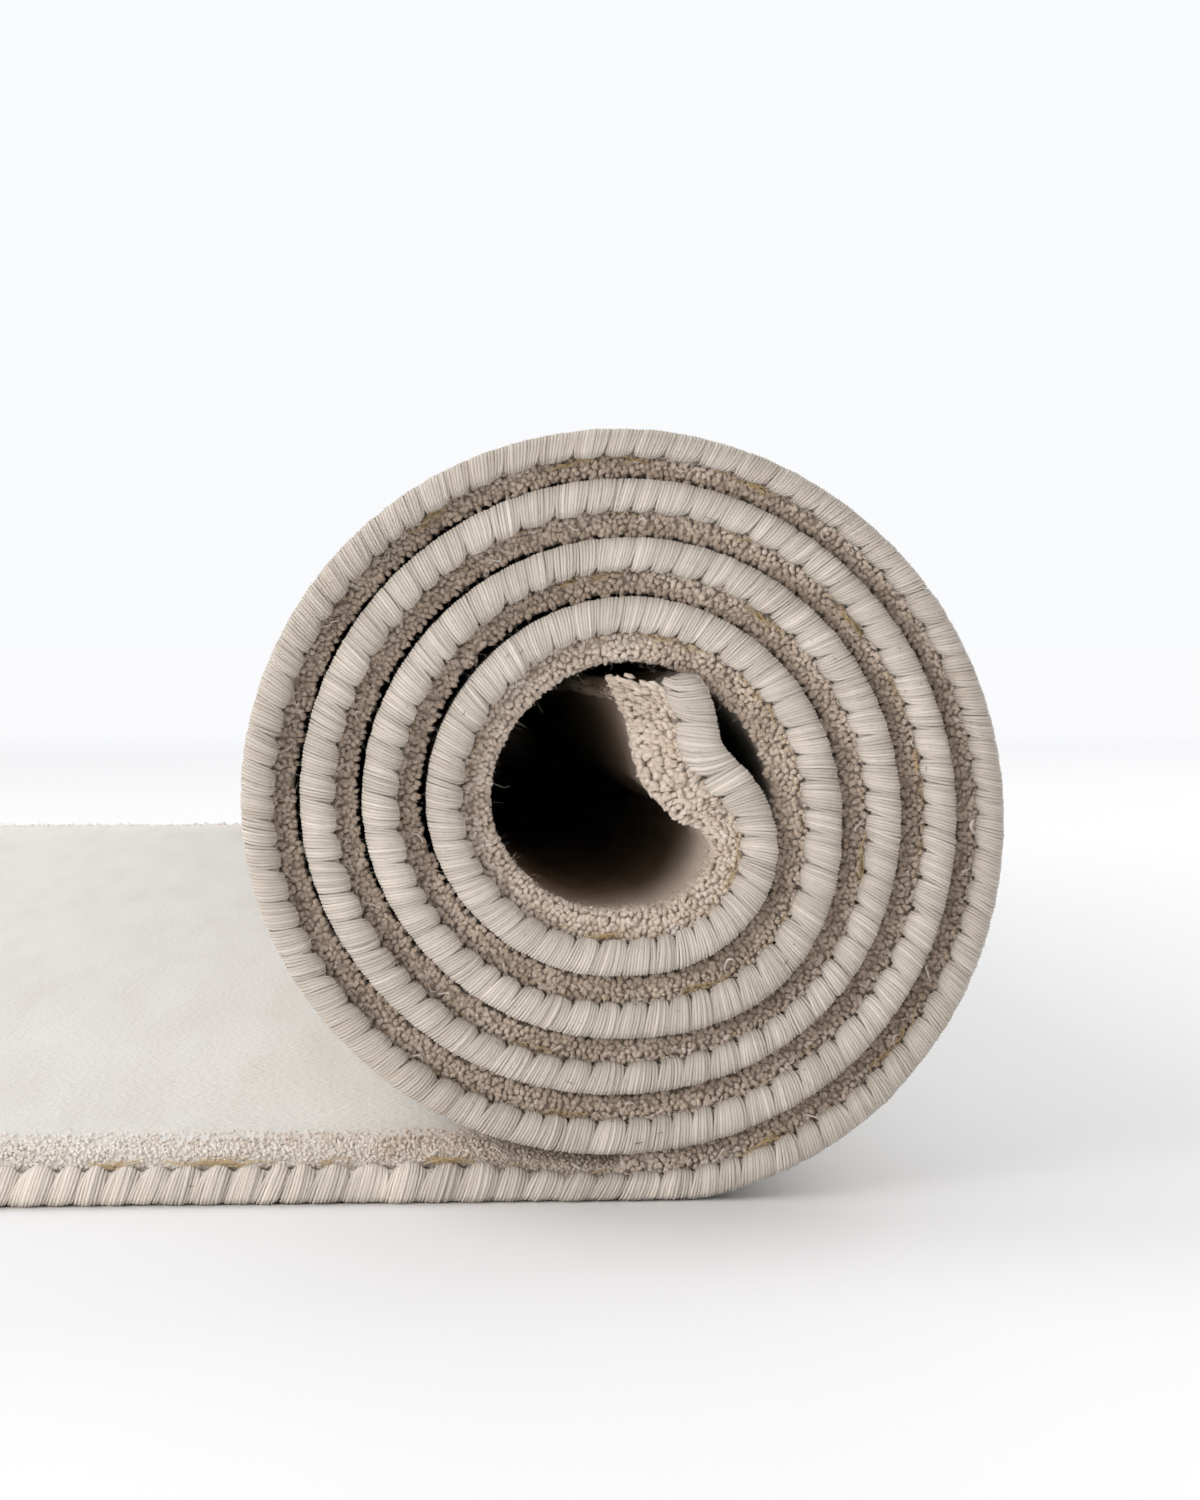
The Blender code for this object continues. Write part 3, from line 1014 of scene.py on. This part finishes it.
def yarn_fuzz(name, start, end, count, material):
    """Hairs standing off the overcast yarn."""
    rng = np.random.default_rng(SEED + 80 + int(start * 100))
    along = rng.uniform(start, end, count)
    turn = rng.uniform(-0.5, 0.6, count) * math.pi
    out, up = section(turn, 0)
    reach = rng.normal(0, 0.55, (3, count))
    reach[1] -= 0.6 * np.cos(turn)
    reach[2] += 0.6 * np.sin(turn)
    high = (YARN_HEIGHT / 2 + up) * winding.yarn_height(along) / YARN_HEIGHT
    places = (along, CORD_DEPTH / 2 - out, high)
    return fuzz(name, places, reach, 1.3 * MM, rng, "overcast_front", material)


# ---- the room ----------------------------------------------------------------------------------

def floor_stage():
    """A wide pale floor that turns into an even white further off."""
    n = Nodes("pale_floor")
    colour = n.ramp(n.noise(1.5, 3), (0.3, (0.885, 0.885, 0.89)), (0.7, (0.905, 0.905, 0.91)))
    n.tree.links.new(colour, n.shader.inputs["Base Color"])
    n.shader.inputs["Roughness"].default_value = 0.6
    place = n.texture_places.outputs["Object"]
    away = n.add("ShaderNodeVectorMath", {0: place}, operation="LENGTH")
    far = n.add(
        "ShaderNodeMapRange", {"Value": away.outputs["Value"], "From Min": 0.9, "From Max": 3.0}
    ).outputs["Result"]
    glow = n.add("ShaderNodeEmission", {"Color": (0.955, 0.96, 0.975, 1), "Strength": 1.0})
    mixed = n.add(
        "ShaderNodeMixShader",
        {"Fac": far, 1: n.shader.outputs["BSDF"], 2: glow.outputs["Emission"]},
    )
    n.tree.links.new(mixed.outputs["Shader"], n.tree.nodes["Material Output"].inputs["Surface"])
    bm = bmesh.new()
    bmesh.ops.create_grid(bm, x_segments=2, y_segments=2, size=40)
    mesh = bpy.data.meshes.new("floor")
    bm.to_mesh(mesh)
    bm.free()
    mesh.materials.append(n.material)
    floor = add_object("floor", mesh)


def soft_world():
    """An even white studio, dimmer on the viewer's side."""
    world = bpy.data.worlds.new("studio")
    bpy.context.scene.world = world
    world.use_nodes = True
    tree = world.node_tree
    kinds = ("TexCoord", "SeparateXYZ", "ValToRGB", "Math")
    place, split, ramp, half = (tree.nodes.new("ShaderNode" + kind) for kind in kinds)
    half.operation = "MULTIPLY_ADD"
    half.inputs[1].default_value = 0.5
    half.inputs[2].default_value = 0.5
    tree.links.new(place.outputs["Generated"], split.inputs["Vector"])
    tree.links.new(split.outputs["Y"], half.inputs[0])
    tree.links.new(half.outputs["Value"], ramp.inputs["Fac"])
    stops = ramp.color_ramp.elements
    stops[0].position, stops[1].position = 0.06, 0.75
    stops[0].color = (0.05, 0.05, 0.05, 1)
    stops[1].color = (0.95, 0.96, 0.98, 1)
    stops.new(0.21).color = (0.69, 0.685, 0.68, 1)
    tree.links.new(ramp.outputs["Color"], tree.nodes["Background"].inputs["Color"])


def area_light(name, place, aim, size, power, colour):
    """A round soft light at a place, aimed at another."""
    light = bpy.data.lights.new(name, "AREA")
    light.shape = "DISK"
    light.size = size
    light.energy = power
    light.color = colour
    obj = add_object(name, light)
    obj.location = place
    obj.rotation_euler = (Vector(aim) - Vector(place)).to_track_quat("-Z", "Y").to_euler()


def camera():
    """Low in front of the roll's open end."""
    data = bpy.data.cameras.new("camera")
    data.lens = 85.0
    data.clip_start = 0.01
    obj = add_object("camera", data)
    obj.location = (winding.axis_x - 0.0512, FRONT - 0.704, 0.1128)
    obj.rotation_euler = (math.radians(90 - 1.79), 0, math.radians(-3.77))
    bpy.context.scene.camera = obj


# ---- putting it together -----------------------------------------------------------------------

def main():
    yarn, pile, cloth, straw = overcast_yarn(), pile_wool(), cloth_wool(), straw_yarn()
    sheet = carpet_cloth(cloth)
    end = winding.length
    inner_turns = float(np.interp(720, winding.turned, winding.along))
    fine, plain = rod(4, 7), rod(3, 5)
    plump, small = nub(5, 3), nub(4, 3)
    tip = end - 2.5 * MM
    inner = CARPET_WIDTH / 2 - PILE_FACE
    in_view = 0.07 - inner
    far = BACK_COARSENESS
    extras = [
        pile_face("pile_face_flat", EDGE_START, ROLL_START, small, pile, -1, 0.68),
        pile_face("pile_face_outer", ROLL_START, inner_turns, plump, pile),
        pile_face("pile_face_inner", inner_turns, tip, plump, pile),
        pile_face("pile_face_core_end", end - 42 * MM, end - 1.5 * MM, plump, pile),
        pile_face("pile_face_back", EDGE_START, tip, small, pile, 1, far),
        pile_end("pile_floor_end", 0, -1, -inner, inner, small, pile, far),
        pile_end("pile_core_end_front", end, 1, -inner, in_view, plump, pile, 0.9),
        pile_end("pile_core_end", end, 1, in_view, inner, small, pile, far),
        pile_top("pile_top_flat", EDGE_START, ROLL_START, 0.016, small, pile, -1, 0.75),
        pile_top("pile_top_core", FREE_START, tip, 0.032, small, pile),
        pile_top("pile_top_back", EDGE_START, ROLL_START, 0.030, small, pile, 1, far),
        cord_filling("cord_front", -1, "overcast_front", yarn),
        cord_filling("cord_back", 1, "overcast_back", yarn),
        side_overcast("overcast_flat", 0, ROLL_START, -1, yarn, 0.95 * MM, 2.6 * MM, fine),
        side_overcast(
            "overcast_outer_turns", ROLL_START, inner_turns, -1, yarn, 0.42 * MM, 1.7 * MM, fine
        ),
        side_overcast(
            "overcast_inner_turns", inner_turns, end, -1, yarn, 0.42 * MM, 1.7 * MM, fine
        ),
        side_overcast("overcast_back_edge", 0, end, 1, yarn, 0.5 * MM, 2 * MM, plain, 1.4 * MM),
        end_filling("cord_floor_end", 0, -1, "overcast_floor_end", yarn),
        end_filling("cord_core_end", end, 1, "overcast_core_end", yarn),
        end_overcast("overcast_floor_edge", 0, -1, "overcast_floor_end", yarn, plain),
        end_overcast("overcast_core_edge", end, 1, "overcast_core_end", yarn, plain),
        straw_threads(straw),
        loose_loops(yarn),
        dark_specks(speck_wool()),
        face_fuzz("fuzz_face_flat", 0.01, ROLL_START, 1.5 * MM, pile),
        face_fuzz("fuzz_face_roll", ROLL_START, tip - 20 * MM, 1.45 * MM, pile),
        top_fuzz("fuzz_top_flat", 0.01, ROLL_START, 0.022, 2.2 * MM, pile),
        top_fuzz("fuzz_top_core", FREE_START, tip - 45 * MM, 0.030, 1.5 * MM, pile),
        yarn_fuzz("fuzz_yarn", 0.005, end - 0.003, 3600, yarn),
    ]
    floor_stage()
    soft_world()
    area_light("left_window", (-1.6, 0.4, 1.7), (0, 0, 0.05), 1.6, 16, (1.0, 0.985, 0.965))
    area_light("front_lamp", (-0.75, -1.6, 0.4), (0.0, -0.6, 0.04), 0.8, 9, (1.0, 0.975, 0.95))
    area_light("right_fill", (1.7, 1.4, 1.5), (0.35, -0.3, 0.05), 1.6, 14, (1.0, 0.99, 0.98))
    camera()
    bpy.context.scene.view_settings.view_transform = "Standard"


main()
